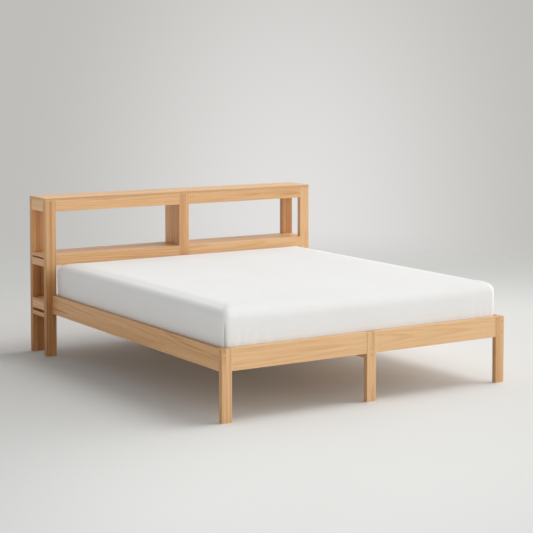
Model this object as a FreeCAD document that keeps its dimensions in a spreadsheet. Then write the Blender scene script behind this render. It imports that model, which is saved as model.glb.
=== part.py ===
import FreeCAD, Part
import Sketcher
import os

# Bookcase headboard bed for a 1800 x 2000 mm mattress.
# Millimetres, +Z up, +X to the right seen from the foot, +Y towards the headboard.
# The origin is at the bottom centre of the whole bed's box.

doc = FreeCAD.newDocument("BookcaseBed")
sheet = doc.addObject("Spreadsheet::Sheet", "Dims")

DIMENSIONS = [
    # bed frame
    ("frame_width", 1860.0, "outside width over the side rails"),
    ("bed_length", 2050.0, "front face of the foot legs to the front face of the headboard"),
    ("rail_top", 378.0, "top edge of the rails and of the foot legs"),
    ("rail_high", 116.0, "height of side and foot rails"),
    ("side_thick", 30.0, "thickness of a side rail"),
    ("foot_thick", 28.0, "thickness of a foot rail"),
    ("leg_width", 60.0, "foot leg, across the bed"),
    ("leg_thick", 30.0, "foot leg, along the bed"),
    ("ledger_size", 25.0, "square section of the slat ledgers"),
    ("slat_level", 320.0, "top face of the slats"),
    ("slat_thick", 18.0, "slat thickness"),
    ("slat_width", 75.0, "slat width"),
    ("tape_thick", 1.0, "webbing tape thickness"),
    ("tape_width", 30.0, "webbing tape width"),
    ("beam_width", 45.0, "centre beam width"),
    ("beam_high", 70.0, "centre beam height"),
    # headboard
    ("head_width", 1946.0, "outside width of the headboard"),
    ("head_height", 980.0, "top face of the headboard"),
    ("head_depth", 240.0, "depth of the bookcase"),
    ("post_width", 70.0, "front end posts, across the bed"),
    ("back_post_width", 80.0, "back end posts, across the bed"),
    ("post_thick", 34.0, "posts, along the bed"),
    ("centre_width", 72.0, "front centre post, across the bed"),
    ("divider_thick", 20.0, "centre divider board"),
    ("top_thick", 18.0, "top board"),
    ("board_thick", 18.0, "shelf boards"),
    ("bar_thick", 22.0, "headboard rails"),
    ("top_bar_high", 67.0, "top rails under the top board"),
    ("shelf_level", 628.0, "top face of the main shelf"),
    ("shelf_bar_high", 66.0, "rails in front of and behind the main shelf"),
    ("end_bar_high", 44.0, "end rails under the shelves"),
    ("shelf_slit", 11.0, "open slit between the shelf end and its end rail"),
    ("lower_level", 345.0, "top face of the lower shelf"),
    ("lower_back_high", 62.0, "lower back rail"),
    ("bottom_bar_low", 240.0, "underside of the bottom end rail"),
    ("bottom_bar_high", 24.0, "height of the bottom end rail"),
    ("cleat_size", 18.0, "square section of the shelf cleats"),
    # edges
    ("ease", 1.5, "eased edge of boards"),
    ("leg_ease", 2.5, "eased edge of legs and posts"),
    ("board_ease", 2.0, "eased edge of the top board"),
    ("slat_ease", 2.0, "rounded long edges of the slats"),
    ("cleat_ease", 1.0, "rounded long edges of the shelf cleats"),
    # fasteners
    ("bolt_high", 346.0, "upper frame bolts"),
    ("bolt_low", 288.0, "lower frame bolts"),
    ("beam_bolt_low", 252.0, "lower centre beam bolt"),
    ("bolt_dia", 8.0, "frame bolt shank"),
    ("bolt_bore", 9.0, "clearance bore for a frame bolt"),
    ("bolt_long", 70.0, "frame bolt shank length"),
    ("bolt_head_dia", 13.0, "frame bolt head"),
    ("bolt_head_high", 5.0, "frame bolt head height"),
    ("sink_dia", 14.0, "counterbore and plug"),
    ("plug_long", 7.0, "plug length"),
    ("nut_dia", 12.0, "barrel nut"),
    ("nut_long", 20.0, "barrel nut length"),
    ("nut_bore", 12.4, "bore for a barrel nut"),
    ("nut_inset", 32.0, "barrel nut from the end of its rail"),
    ("pin_dia", 10.0, "foot rail dowel"),
    ("pin_long", 50.0, "foot rail dowel length"),
    ("peg_dia", 8.0, "headboard dowel"),
    ("peg_long", 40.0, "headboard dowel length"),
    ("screw_dia", 5.0, "ledger screw"),
    ("screw_long", 45.0, "ledger screw length"),
    ("screw_head", 9.0, "ledger screw head"),
    ("small_screw", 4.0, "hanger screw"),
    ("plate_thick", 3.0, "hanger plate"),
    ("hanger_long", 50.0, "hanger seat length"),
    # soft parts
    ("mattress_width", 1794.0, "mattress without its sheet"),
    ("mattress_length", 2014.5, "mattress without its sheet"),
    ("mattress_top", 558.5, "top face of the mattress core"),
    ("sheet_thick", 1.5, "fitted sheet"),
    ("sheet_flap", 90.0, "sheet tucked under the mattress"),
    ("corner_round", 34.0, "upright corners of the mattress"),
    ("edge_round", 30.0, "top and bottom edges of the mattress"),
    ("foot_gap", 1.0, "gap between the sheet and the foot rail"),
]


class Dim:
    """A length that carries its value and the text that binds it to the sheet."""

    def __init__(self, value, text):
        self.value = value
        self.text = text

    def _join(self, other, sign, value):
        return Dim(value, "(%s %s %s)" % (self.text, sign, other.text))

    def __add__(self, other):
        other = dim(other)
        return self._join(other, "+", self.value + other.value)

    def __radd__(self, other):
        return dim(other) + self

    def __sub__(self, other):
        other = dim(other)
        return self._join(other, "-", self.value - other.value)

    def __rsub__(self, other):
        return dim(other) - self

    def __mul__(self, other):
        other = dim(other)
        return self._join(other, "*", self.value * other.value)

    def __rmul__(self, other):
        return dim(other) * self

    def __truediv__(self, other):
        other = dim(other)
        return self._join(other, "/", self.value / other.value)

    def __neg__(self):
        return Dim(-self.value, "(0 - %s)" % self.text)


def dim(x):
    if isinstance(x, Dim):
        return x
    x = float(x)
    return Dim(x, repr(x) if x >= 0 else "(0 - %r)" % (-x))


D = {}
for row, (alias, value, note) in enumerate(DIMENSIONS, start=1):
    sheet.set("A%d" % row, alias)
    sheet.set("B%d" % row, "%g" % value)
    sheet.set("C%d" % row, note)
    sheet.setAlias("B%d" % row, alias)
    D[alias] = Dim(value, "Dims." + alias)
doc.recompute()

NODES = []


def bind(obj, path, q):
    obj.setExpression(path, q.text)


def place(obj, x, y, z, rotation=None):
    if rotation is not None:
        obj.Placement = FreeCAD.Placement(FreeCAD.Vector(x.value, y.value, z.value), rotation)
    else:
        obj.Placement.Base = FreeCAD.Vector(x.value, y.value, z.value)
    bind(obj, "Placement.Base.x", x)
    bind(obj, "Placement.Base.y", y)
    bind(obj, "Placement.Base.z", z)


def origin_plane(body, role):
    for feature in body.Origin.OriginFeatures:
        if feature.Role == role:
            return feature
    raise RuntimeError("no plane " + role)


PLANES = {"z": "XY_Plane", "y": "XZ_Plane", "x": "YZ_Plane"}


def new_sketch(body, name, axis, offset):
    sk = body.newObject("Sketcher::SketchObject", name)
    sk.AttachmentSupport = [(origin_plane(body, PLANES[axis]), "")]
    sk.MapMode = "FlatFace"
    if axis == "y":
        offset = -offset
    if abs(offset.value) > 1e-9:
        sk.AttachmentOffset = FreeCAD.Placement(FreeCAD.Vector(0, 0, offset.value), FreeCAD.Rotation())
        bind(sk, "AttachmentOffset.Base.z", offset)
    return sk


def polygon(sk, points):
    """Closed polygon; every vertex is tied to the sketch origin by the sheet."""
    count = len(points)
    base = sk.GeometryCount
    for i in range(count):
        u0, v0 = points[i]
        u1, v1 = points[(i + 1) % count]
        sk.addGeometry(Part.LineSegment(FreeCAD.Vector(u0.value, v0.value, 0), FreeCAD.Vector(u1.value, v1.value, 0)), False)
    for i in range(count):
        sk.addConstraint(Sketcher.Constraint("Coincident", base + i, 2, base + (i + 1) % count, 1))
    for i, (u, v) in enumerate(points):
        for kind, axis_id, q in (("DistanceX", -2, u), ("DistanceY", -1, v)):
            if abs(q.value) < 1e-9:
                sk.addConstraint(Sketcher.Constraint("PointOnObject", base + i, 1, axis_id))
            else:
                c = sk.addConstraint(Sketcher.Constraint(kind, -1, 1, base + i, 1, q.value))
                bind(sk, "Constraints[%d]" % c, q)


def circle(sk, u, v, diameter):
    g = sk.addGeometry(Part.Circle(FreeCAD.Vector(u.value, v.value, 0), FreeCAD.Vector(0, 0, 1), diameter.value / 2), False)
    c = sk.addConstraint(Sketcher.Constraint("Diameter", g, diameter.value))
    bind(sk, "Constraints[%d]" % c, diameter)
    for kind, q in (("DistanceX", u), ("DistanceY", v)):
        c = sk.addConstraint(Sketcher.Constraint(kind, -1, 1, g, 3, q.value))
        bind(sk, "Constraints[%d]" % c, q)


def fillet_edges(body, base, name, radius, chooser):
    doc.recompute()
    names = ["Edge%d" % (i + 1) for i, e in enumerate(base.Shape.Edges) if chooser(e)]
    fil = body.newObject("PartDesign::Fillet", name)
    fil.Base = (base, names)
    fil.Radius = radius.value
    bind(fil, "Radius", radius)
    body.Tip = fil
    return fil


def parallel_to(direction):
    def chooser(edge):
        if edge.Curve.TypeId != "Part::GeomLine":
            return False
        d = edge.Curve.Direction
        return abs(abs(getattr(d, direction)) - 1.0) < 1e-6
    return chooser


def timber(label, outline, z0, z1, x0, y0, grain, ease=None, cuts=(), node=True):
    """One board: an outline in plan, padded from z0 to z1, edges eased along the
    grain, then bores cut. Outline, levels and bores are in the bed's own frame."""
    body = doc.addObject("PartDesign::Body", label)
    body.Label = label
    sk = new_sketch(body, label + "_outline", "z", dim(0))
    polygon(sk, [(u - x0, v - y0) for u, v in outline])
    pad = body.newObject("PartDesign::Pad", label + "_pad")
    pad.Profile = sk
    pad.Length = (z1 - z0).value
    bind(pad, "Length", z1 - z0)
    body.Tip = pad
    tip = pad
    if ease is not None:
        if grain == "all":
            tip = fillet_edges(body, tip, label + "_ease", ease, lambda e: True)
        else:
            tip = fillet_edges(body, tip, label + "_ease", ease, parallel_to(grain))
    doc.recompute()
    for n, cut in enumerate(cuts):
        axis, start, way, depth, bores = cut
        low = {"x": x0, "y": y0, "z": z0}
        csk = new_sketch(body, "%s_bore%d" % (label, n), axis, start - low[axis])
        want = 0.0
        for u, v, dia in bores:
            if axis == "x":
                circle(csk, u - y0, v - z0, dia)
            elif axis == "y":
                circle(csk, u - x0, v - z0, dia)
            else:
                circle(csk, u - x0, v - y0, dia)
            want += 3.14159265 * dia.value ** 2 / 4 * depth.value
        before = tip.Shape.Volume
        pocket = body.newObject("PartDesign::Pocket", "%s_pocket%d" % (label, n))
        pocket.Profile = csk
        pocket.Length = depth.value
        bind(pocket, "Length", depth)
        # a pocket runs against its sketch's normal, which is +Z, -Y and +X here
        pocket.Reversed = {"z": way > 0, "y": way < 0, "x": way > 0}[axis]
        body.Tip = pocket
        doc.recompute()
        removed = before - pocket.Shape.Volume
        if removed < 0.2 * want or removed > 1.02 * want:
            raise RuntimeError("%s: bores %d took %.0f of %.0f mm3" % (label, n, removed, want))
        tip = pocket
    place(body, x0, y0, z0)
    if node:
        NODES.append(body)
    return body


def board(label, x0, x1, y0, y1, z0, z1, grain, ease=None, cuts=(), node=True):
    x0, x1, y0, y1, z0, z1 = [dim(q) for q in (x0, x1, y0, y1, z0, z1)]
    outline = [(x0, y0), (x1, y0), (x1, y1), (x0, y1)]
    return timber(label, outline, z0, z1, x0, y0, grain, ease, cuts, node)


def mirrored_cuts(cuts):
    out = []
    for axis, start, way, depth, bores in cuts:
        if axis == "x":
            out.append((axis, -start, -way, depth, bores))
        else:
            out.append((axis, start, way, depth, [(-u, v, dia) for u, v, dia in bores]))
    return out


def pair(name, x0, x1, y0, y1, z0, z1, grain, ease=None, cuts=()):
    """A left-hand board and its mirror image on the right. x0 and x1 are the
    left-hand board's, both negative."""
    x0, x1 = dim(x0), dim(x1)
    board(name + "_left", x0, x1, y0, y1, z0, z1, grain, ease, cuts)
    board(name + "_right", -x1, -x0, y0, y1, z0, z1, grain, ease, mirrored_cuts(cuts))


def block(name, x0, x1, y0, y1, z0, z1):
    b = doc.addObject("Part::Box", name)
    b.Length, b.Width, b.Height = (x1 - x0).value, (y1 - y0).value, (z1 - z0).value
    bind(b, "Length", x1 - x0)
    bind(b, "Width", y1 - y0)
    bind(b, "Height", z1 - z0)
    place(b, x0, y0, z0)
    return b


def rounded_block(name, x0, x1, y0, y1, z0, z1, radius):
    """A strip whose four edges along X are rounded."""
    b = block(name + "_blank", x0, x1, y0, y1, z0, z1)
    doc.recompute()
    along = parallel_to("x")
    f = doc.addObject("Part::Fillet", name)
    f.Base = b
    f.Edges = [(i + 1, radius.value, radius.value) for i, e in enumerate(b.Shape.Edges) if along(e)]
    return f


TURN = {
    "+x": FreeCAD.Rotation(FreeCAD.Vector(0, 1, 0), 90),
    "-x": FreeCAD.Rotation(FreeCAD.Vector(0, 1, 0), -90),
    "+y": FreeCAD.Rotation(FreeCAD.Vector(1, 0, 0), -90),
    "-y": FreeCAD.Rotation(FreeCAD.Vector(1, 0, 0), 90),
    "+z": FreeCAD.Rotation(),
}


def rod(name, diameter, length, x, y, z, way):
    c = doc.addObject("Part::Cylinder", name)
    c.Radius, c.Height = diameter.value / 2, length.value
    bind(c, "Radius", diameter / 2)
    bind(c, "Height", length)
    place(c, dim(x), dim(y), dim(z), TURN[way])
    return c


def group(label, members):
    g = doc.addObject("Part::Compound", label)
    g.Label = label
    g.Links = members
    NODES.append(g)
    return g


# ---------------------------------------------------------------- reference planes
foot = -(D["bed_length"] + D["head_depth"]) / 2      # front face of the foot legs
head = (D["bed_length"] - D["head_depth"]) / 2       # front face of the headboard
back = (D["bed_length"] + D["head_depth"]) / 2       # back face of the headboard
frame_x = D["frame_width"] / 2
head_x = D["head_width"] / 2
post_in = head_x - D["post_width"]                   # inner edge of the front end posts
back_in = head_x - D["back_post_width"]              # inner edge of the back end posts
cpost = D["centre_width"] / 2
half_div = D["divider_thick"] / 2
floor = dim(0)
rail_low = D["rail_top"] - D["rail_high"]
under_top = D["head_height"] - D["top_thick"]
top_bar_low = under_top - D["top_bar_high"]
shelf_under = D["shelf_level"] - D["board_thick"]
shelf_bar_low = D["shelf_level"] - D["shelf_bar_high"]
end_bar_top = shelf_under - D["shelf_slit"]
lower_under = D["lower_level"] - D["board_thick"]
lower_back_low = D["lower_level"] - D["lower_back_high"]
bolt_x = frame_x - D["side_thick"] / 2
half_leg = D["leg_width"] / 2
leg_in = frame_x - D["leg_width"]
leg_back = foot + D["leg_thick"]
beam_top = D["slat_level"] - D["slat_thick"]
beam_low = beam_top - D["beam_high"]

# dowel levels of the headboard's rails
front_peg_y = head + D["bar_thick"] / 2
lower_peg_y = head + D["side_thick"] / 2
back_peg_y = back - D["bar_thick"] / 2
top_pegs = [top_bar_low + 16, top_bar_low + 51]
shelf_pegs = [shelf_bar_low + 16, shelf_bar_low + 50]
lower_front_pegs = [rail_low + 56, rail_low + 104]
lower_back_pegs = [lower_back_low + 15, lower_back_low + 47]
half_peg = D["peg_long"] / 2

front_pegs = ([(front_peg_y, z, D["peg_dia"]) for z in top_pegs + shelf_pegs]
              + [(lower_peg_y, z, D["peg_dia"]) for z in lower_front_pegs])
back_pegs = [(back_peg_y, z, D["peg_dia"]) for z in top_pegs + shelf_pegs + lower_back_pegs]

# ---------------------------------------------------------------- headboard posts
sink_depth = D["bolt_head_high"] + 3
pair("post_front", -head_x, -post_in, head, head + D["post_thick"], floor, under_top, "z", D["leg_ease"], [
    ("x", -post_in, -1, half_peg, front_pegs),
    ("y", head + D["post_thick"], -1, sink_depth, [(-bolt_x, D["bolt_high"], D["sink_dia"]), (-bolt_x, D["bolt_low"], D["sink_dia"])]),
    ("y", head, 1, D["post_thick"], [(-bolt_x, D["bolt_high"], D["bolt_bore"]), (-bolt_x, D["bolt_low"], D["bolt_bore"])]),
])
board("post_front_centre", -cpost, cpost, head, head + D["post_thick"], floor, under_top, "z", D["leg_ease"], [
    ("x", -cpost, 1, half_peg, front_pegs),
    ("x", cpost, -1, half_peg, front_pegs),
])
pair("post_back", -head_x, -back_in, back - D["post_thick"], back, floor, under_top, "z", D["leg_ease"], [
    ("x", -back_in, -1, half_peg, back_pegs),
])
board("centre_divider", -half_div, half_div, head + D["post_thick"], back, floor, under_top, "z", D["ease"], [
    ("x", -half_div, 1, D["divider_thick"], back_pegs),
])

# ---------------------------------------------------------------- headboard rails and boards
board("top_board", -head_x, head_x, head, back, under_top, D["head_height"], "all", D["board_ease"])


def bar_cuts(x_outer, x_inner, y, levels):
    bores = [(y, z, D["peg_dia"]) for z in levels]
    return [("x", x_outer, 1, half_peg, bores), ("x", x_inner, -1, half_peg, bores)]


pair("top_rail_front", -post_in, -cpost, head, head + D["bar_thick"], top_bar_low, under_top, "x", D["ease"],
     bar_cuts(-post_in, -cpost, front_peg_y, top_pegs))
pair("top_rail_back", -back_in, -half_div, back - D["bar_thick"], back, top_bar_low, under_top, "x", D["ease"],
     bar_cuts(-back_in, -half_div, back_peg_y, top_pegs))
pair("top_end_rail", -head_x, -head_x + D["bar_thick"], head + D["post_thick"], back - D["post_thick"], top_bar_low, under_top, "y", D["ease"])

pair("shelf_rail_front", -post_in, -cpost, head, head + D["bar_thick"], shelf_bar_low, D["shelf_level"], "x", D["ease"],
     bar_cuts(-post_in, -cpost, front_peg_y, shelf_pegs))
pair("shelf_rail_back", -back_in, -half_div, back - D["bar_thick"], back, shelf_bar_low, D["shelf_level"], "x", D["ease"],
     bar_cuts(-back_in, -half_div, back_peg_y, shelf_pegs))
pair("shelf_end_rail", -head_x, -head_x + D["bar_thick"], head + D["post_thick"], back - D["post_thick"],
     end_bar_top - D["end_bar_high"], end_bar_top, "y", D["ease"])

pair("lower_rail_front", -post_in, -cpost, head, head + D["side_thick"], rail_low, D["rail_top"], "x", D["ease"],
     bar_cuts(-post_in, -cpost, lower_peg_y, lower_front_pegs))
pair("lower_rail_back", -back_in, -half_div, back - D["bar_thick"], back, lower_back_low, D["lower_level"], "x", D["ease"],
     bar_cuts(-back_in, -half_div, back_peg_y, lower_back_pegs))
pair("lower_end_rail", -head_x, -head_x + D["bar_thick"], head + D["post_thick"], back - D["post_thick"],
     lower_under - D["end_bar_high"], lower_under, "y", D["ease"])
pair("bottom_end_rail", -head_x, -head_x + D["bar_thick"], head + D["post_thick"], back - D["post_thick"],
     D["bottom_bar_low"], D["bottom_bar_low"] + D["bottom_bar_high"], "y", D["ease"])


def shelf(name, front, z1):
    """Shelf board notched round the end posts and the centre post."""
    z0 = z1 - D["board_thick"]
    rear = back - D["bar_thick"]
    left = [(-head_x, head + D["post_thick"]), (-post_in, head + D["post_thick"]), (-post_in, front), (-cpost, front),
            (-cpost, head + D["post_thick"]), (-half_div, head + D["post_thick"]), (-half_div, rear), (-back_in, rear),
            (-back_in, back - D["post_thick"]), (-head_x, back - D["post_thick"])]
    timber(name + "_left", left, z0, z1, -head_x, front, "x", D["ease"] / 2)
    right = [(-u, v) for u, v in reversed(left)]
    timber(name + "_right", right, z0, z1, half_div, front, "x", D["ease"] / 2)


shelf("shelf", head + D["bar_thick"], D["shelf_level"])
shelf("lower_shelf", head + D["side_thick"], D["lower_level"])

for side, sx in (("left", -1), ("right", 1)):
    xa, xb = (-(post_in - 4), -(cpost + 4)) if sx < 0 else (cpost + 4, post_in - 4)
    ra, rb = (-(back_in - 4), -(cpost + 4)) if sx < 0 else (cpost + 4, back_in - 4)
    cs = D["cleat_size"]
    group("shelf_cleats_" + side, [
        rounded_block("cleat_a_" + side, xa, xb, head + D["bar_thick"], head + D["bar_thick"] + cs, shelf_under - cs, shelf_under, D["cleat_ease"]),
        rounded_block("cleat_b_" + side, ra, rb, back - D["bar_thick"] - cs, back - D["bar_thick"], shelf_under - cs, shelf_under, D["cleat_ease"]),
        rounded_block("cleat_c_" + side, xa, xb, head + D["side_thick"], head + D["side_thick"] + cs, lower_under - cs, lower_under, D["cleat_ease"]),
        rounded_block("cleat_d_" + side, ra, rb, back - D["bar_thick"] - cs, back - D["bar_thick"], lower_under - cs, lower_under, D["cleat_ease"]),
    ])

pegs = []
for sx in (-1, 1):
    for y, z, dia in front_pegs:
        for joint in (post_in, cpost):
            pegs.append(rod("peg%d" % len(pegs), dia, D["peg_long"], joint * sx - half_peg, y, z, "+x"))
    for y, z, dia in back_pegs:
        pegs.append(rod("peg%d" % len(pegs), dia, D["peg_long"], back_in * sx - half_peg, y, z, "+x"))
for y, z, dia in back_pegs:
    long_peg = D["peg_long"] + D["divider_thick"]
    pegs.append(rod("peg%d" % len(pegs), dia, long_peg, -long_peg / 2, y, z, "+x"))
group("headboard_dowels", pegs)

# ---------------------------------------------------------------- bed rails and foot legs
pin_y = foot + 16
pin_levels = [rail_low + 50, rail_low + 88]
half_pin = D["pin_long"] / 2
leg_pins = [(pin_y, z, D["pin_dia"]) for z in pin_levels]
leg_sink = D["plug_long"] + D["bolt_head_high"]

pair("side_rail", -frame_x, -frame_x + D["side_thick"], leg_back, head, rail_low, D["rail_top"], "y", D["ease"], [
    ("y", leg_back, 1, D["bolt_long"] - D["leg_thick"] + leg_sink + 4, [(-bolt_x, D["bolt_high"], D["bolt_bore"]), (-bolt_x, D["bolt_low"], D["bolt_bore"])]),
    ("y", head, -1, dim(48), [(-bolt_x, D["bolt_high"], D["bolt_bore"]), (-bolt_x, D["bolt_low"], D["bolt_bore"])]),
    ("x", -frame_x + D["side_thick"], -1, dim(25), [(y, z, D["nut_bore"]) for y in (leg_back + D["nut_inset"], head - D["nut_inset"]) for z in (D["bolt_high"], D["bolt_low"])]),
])
pair("foot_rail", -leg_in, -half_leg, foot + 2, foot + 2 + D["foot_thick"], rail_low, D["rail_top"], "x", D["ease"], [
    ("x", -leg_in, 1, half_pin, leg_pins),
    ("x", -half_leg, -1, half_pin, leg_pins),
])
pair("foot_leg", -frame_x, -leg_in, foot, leg_back, floor, D["rail_top"], "z", D["leg_ease"], [
    ("x", -leg_in, -1, half_pin, leg_pins),
    ("y", foot, 1, leg_sink, [(-bolt_x, D["bolt_high"], D["sink_dia"]), (-bolt_x, D["bolt_low"], D["sink_dia"])]),
    ("y", leg_back, -1, D["leg_thick"], [(-bolt_x, D["bolt_high"], D["bolt_bore"]), (-bolt_x, D["bolt_low"], D["bolt_bore"])]),
])
board("foot_leg_centre", -half_leg, half_leg, foot, leg_back, floor, D["rail_top"], "z", D["leg_ease"], [
    ("x", -half_leg, 1, half_pin, leg_pins),
    ("x", half_leg, -1, half_pin, leg_pins),
    ("y", foot, 1, leg_sink, [(dim(0), D["bolt_low"], D["sink_dia"]), (dim(0), D["beam_bolt_low"], D["sink_dia"])]),
    ("y", leg_back, -1, D["leg_thick"], [(dim(0), D["bolt_low"], D["bolt_bore"]), (dim(0), D["beam_bolt_low"], D["bolt_bore"])]),
])
half_beam = D["beam_width"] / 2
board("centre_beam", -half_beam, half_beam, leg_back, head - D["plate_thick"], beam_low, beam_top, "y", D["ease"], [
    ("y", leg_back, 1, D["bolt_long"] - D["leg_thick"] + leg_sink + 4, [(dim(0), D["bolt_low"], D["bolt_bore"]), (dim(0), D["beam_bolt_low"], D["bolt_bore"])]),
    ("x", -half_beam, 1, half_beam + D["nut_long"] / 2 + 1, [(leg_back + D["nut_inset"], z, D["nut_bore"]) for z in (D["bolt_low"], D["beam_bolt_low"])]),
])

# steel saddle that carries the head end of the centre beam
plate = D["plate_thick"]
flange = cpost
hanger = doc.addObject("PartDesign::Body", "beam_hanger")
hanger.Label = "beam_hanger"
hx, hy = -flange, head - D["hanger_long"]
seat = new_sketch(hanger, "hanger_seat", "z", dim(0))
polygon(seat, [(-half_beam - plate - hx, head - D["hanger_long"] - hy), (half_beam + plate - hx, head - D["hanger_long"] - hy),
               (half_beam + plate - hx, head - hy), (-half_beam - plate - hx, head - hy)])
seat_pad = hanger.newObject("PartDesign::Pad", "hanger_seat_pad")
seat_pad.Profile = seat
bind(seat_pad, "Length", plate)
hanger.Tip = seat_pad
cheeks = new_sketch(hanger, "hanger_cheeks", "z", dim(0))
for sx in (-1, 1):
    def m(q):
        return q * sx - hx
    ring = [(m(half_beam), dim(0)), (m(half_beam + plate), dim(0)),
            (m(half_beam + plate), D["hanger_long"] - plate), (m(flange), D["hanger_long"] - plate),
            (m(flange), D["hanger_long"] * 1.0), (m(half_beam), D["hanger_long"] * 1.0)]
    polygon(cheeks, ring if sx > 0 else list(reversed(ring)))
cheek_pad = hanger.newObject("PartDesign::Pad", "hanger_cheek_pad")
cheek_pad.Profile = cheeks
bind(cheek_pad, "Length", D["hanger_long"] + plate)
hanger.Tip = cheek_pad
doc.recompute()
hang_x = (half_beam + plate + flange) / 2
hole_sk = new_sketch(hanger, "hanger_holes", "y", D["hanger_long"] * 1.0)
hanger_low = beam_low - plate
hang_levels = [dim(14), dim(40)]
for sx in (-1, 1):
    for z in hang_levels:
        circle(hole_sk, hang_x * sx - hx, z, D["small_screw"])
hole_cut = hanger.newObject("PartDesign::Pocket", "hanger_hole_cut")
hole_cut.Profile = hole_sk
bind(hole_cut, "Length", plate)
hole_cut.Reversed = True
hanger.Tip = hole_cut
doc.recompute()
if cheek_pad.Shape.Volume - hole_cut.Shape.Volume < 100:
    raise RuntimeError("hanger holes not cut")
place(hanger, hx, hy, hanger_low)
NODES.append(hanger)

# ---------------------------------------------------------------- ledgers, slats and tapes
ledger_a = leg_back + 50
ledger_b = head - 60
screw_ys = [ledger_a + 60 + (ledger_b - ledger_a - 120) * (i / 5.0) for i in range(6)]
ledger_mid = beam_top - D["ledger_size"] / 2
ledger_in = frame_x - D["side_thick"] - D["ledger_size"]
for name, sx in (("left", -1), ("right", 1)):
    xa, xb = (-(ledger_in + D["ledger_size"]), -ledger_in) if sx < 0 else (ledger_in, ledger_in + D["ledger_size"])
    board("slat_ledger_" + name, xa, xb, ledger_a, ledger_b, beam_top - D["ledger_size"], beam_top, "y", D["ease"], [
        ("x", ledger_in * sx, sx, D["ledger_size"], [(y, ledger_mid, D["screw_dia"]) for y in screw_ys]),
        ("x", ledger_in * sx, sx, dim(3), [(y, ledger_mid, D["screw_head"]) for y in screw_ys]),
    ])

SLATS = 14
slat_a = ledger_a + 4
slat_step = (ledger_b - 4 - slat_a - D["slat_width"]) / (SLATS - 1)
slat_out = frame_x - D["side_thick"] - 2
for name, sx in (("left", -1), ("right", 1)):
    xa, xb = (-slat_out, dim(-2)) if sx < 0 else (dim(2), slat_out)
    group("slats_" + name, [
        rounded_block("slat_%s_%d" % (name, i), xa, xb, slat_a + slat_step * i, slat_a + slat_step * i + D["slat_width"],
                      beam_top, D["slat_level"], D["slat_ease"])
        for i in range(SLATS)])
    tapes = []
    for j, at in enumerate((230.0, 670.0)):
        c = dim(at * sx)
        tapes.append(block("tape_%s_%d" % (name, j), c - D["tape_width"] / 2, c + D["tape_width"] / 2, slat_a,
                           slat_a + slat_step * (SLATS - 1) + D["slat_width"], D["slat_level"], D["slat_level"] + D["tape_thick"]))
    group("slat_tapes_" + name, tapes)

# ---------------------------------------------------------------- fasteners
def bolt(tag, x, y, z, way):
    """Head at y, shank running along way."""
    sign = 1 if way == "+y" else -1
    h = rod(tag + "_head", D["bolt_head_dia"], D["bolt_head_high"], x, y, z, way)
    s = rod(tag + "_shank", D["bolt_dia"], D["bolt_long"], x, y + D["bolt_head_high"] * sign, z, way)
    f = doc.addObject("Part::Fuse", tag)
    f.Base, f.Tool = h, s
    return f


bolts, nuts, plugs = [], [], []


def nut(tag, x, y, z, way):
    body = rod(tag + "_body", D["nut_dia"], D["nut_long"], x - D["nut_long"] / 2, y, z, "+x")
    hole = rod(tag + "_hole", D["bolt_dia"], D["nut_dia"] + 4, x, y - D["nut_dia"] / 2 - 2, z, "+y")
    c = doc.addObject("Part::Cut", tag)
    c.Base, c.Tool = body, hole
    return c


head_in = head + D["post_thick"] - sink_depth + D["bolt_head_high"]
for sx in (-1, 1):
    for z in (D["bolt_high"], D["bolt_low"]):
        x = bolt_x * sx
        bolts.append(bolt("bolt%d" % len(bolts), x, foot + D["plug_long"], z, "+y"))
        bolts.append(bolt("bolt%d" % len(bolts), x, head_in, z, "-y"))
        plugs.append(rod("plug%d" % len(plugs), D["sink_dia"], D["plug_long"], x, foot, z, "+y"))
        nuts.append(nut("nut%d" % len(nuts), x, leg_back + D["nut_inset"], z, "+x"))
        nuts.append(nut("nut%d" % len(nuts), x, head - D["nut_inset"], z, "+x"))
for z in (D["bolt_low"], D["beam_bolt_low"]):
    bolts.append(bolt("bolt%d" % len(bolts), dim(0), foot + D["plug_long"], z, "+y"))
    plugs.append(rod("plug%d" % len(plugs), D["sink_dia"], D["plug_long"], 0, foot, z, "+y"))
    nuts.append(nut("nut%d" % len(nuts), dim(0), leg_back + D["nut_inset"], z, "+x"))
group("frame_bolts", bolts)
group("barrel_nuts", nuts)
group("bolt_plugs", plugs)

pins = []
for joint in (-leg_in, -half_leg, half_leg, leg_in):
    for z in pin_levels:
        pins.append(rod("pin%d" % len(pins), D["pin_dia"], D["pin_long"], joint - half_pin, pin_y, z, "+x"))
group("foot_rail_dowels", pins)

screws = []
for sx in (-1, 1):
    way = "-x" if sx < 0 else "+x"
    for y in screw_ys:
        h = rod("lsh%d" % len(screws), D["screw_head"], dim(3), ledger_in * sx, y, ledger_mid, way)
        s = rod("lss%d" % len(screws), D["screw_dia"], D["ledger_size"] - 3, (ledger_in + 3) * sx, y, ledger_mid, way)
        t = rod("lst%d" % len(screws), D["screw_dia"], D["screw_long"] - D["ledger_size"], (ledger_in + D["ledger_size"]) * sx, y, ledger_mid, way)
        f = doc.addObject("Part::MultiFuse", "ledger_screw%d" % len(screws))
        f.Shapes = [h, s, t]
        screws.append(f)
group("ledger_screws", screws)

hscrews = []
for sx in (-1, 1):
    for z in hang_levels:
        h = rod("hsh%d" % len(hscrews), D["small_screw"] * 1.75, dim(2), hang_x * sx, head - plate - 2, hanger_low + z, "+y")
        s = rod("hss%d" % len(hscrews), D["small_screw"], plate + 20, hang_x * sx, head - plate, hanger_low + z, "+y")
        f = doc.addObject("Part::Fuse", "hanger_screw%d" % len(hscrews))
        f.Base, f.Tool = h, s
        hscrews.append(f)
group("hanger_screws", hscrews)

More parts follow.
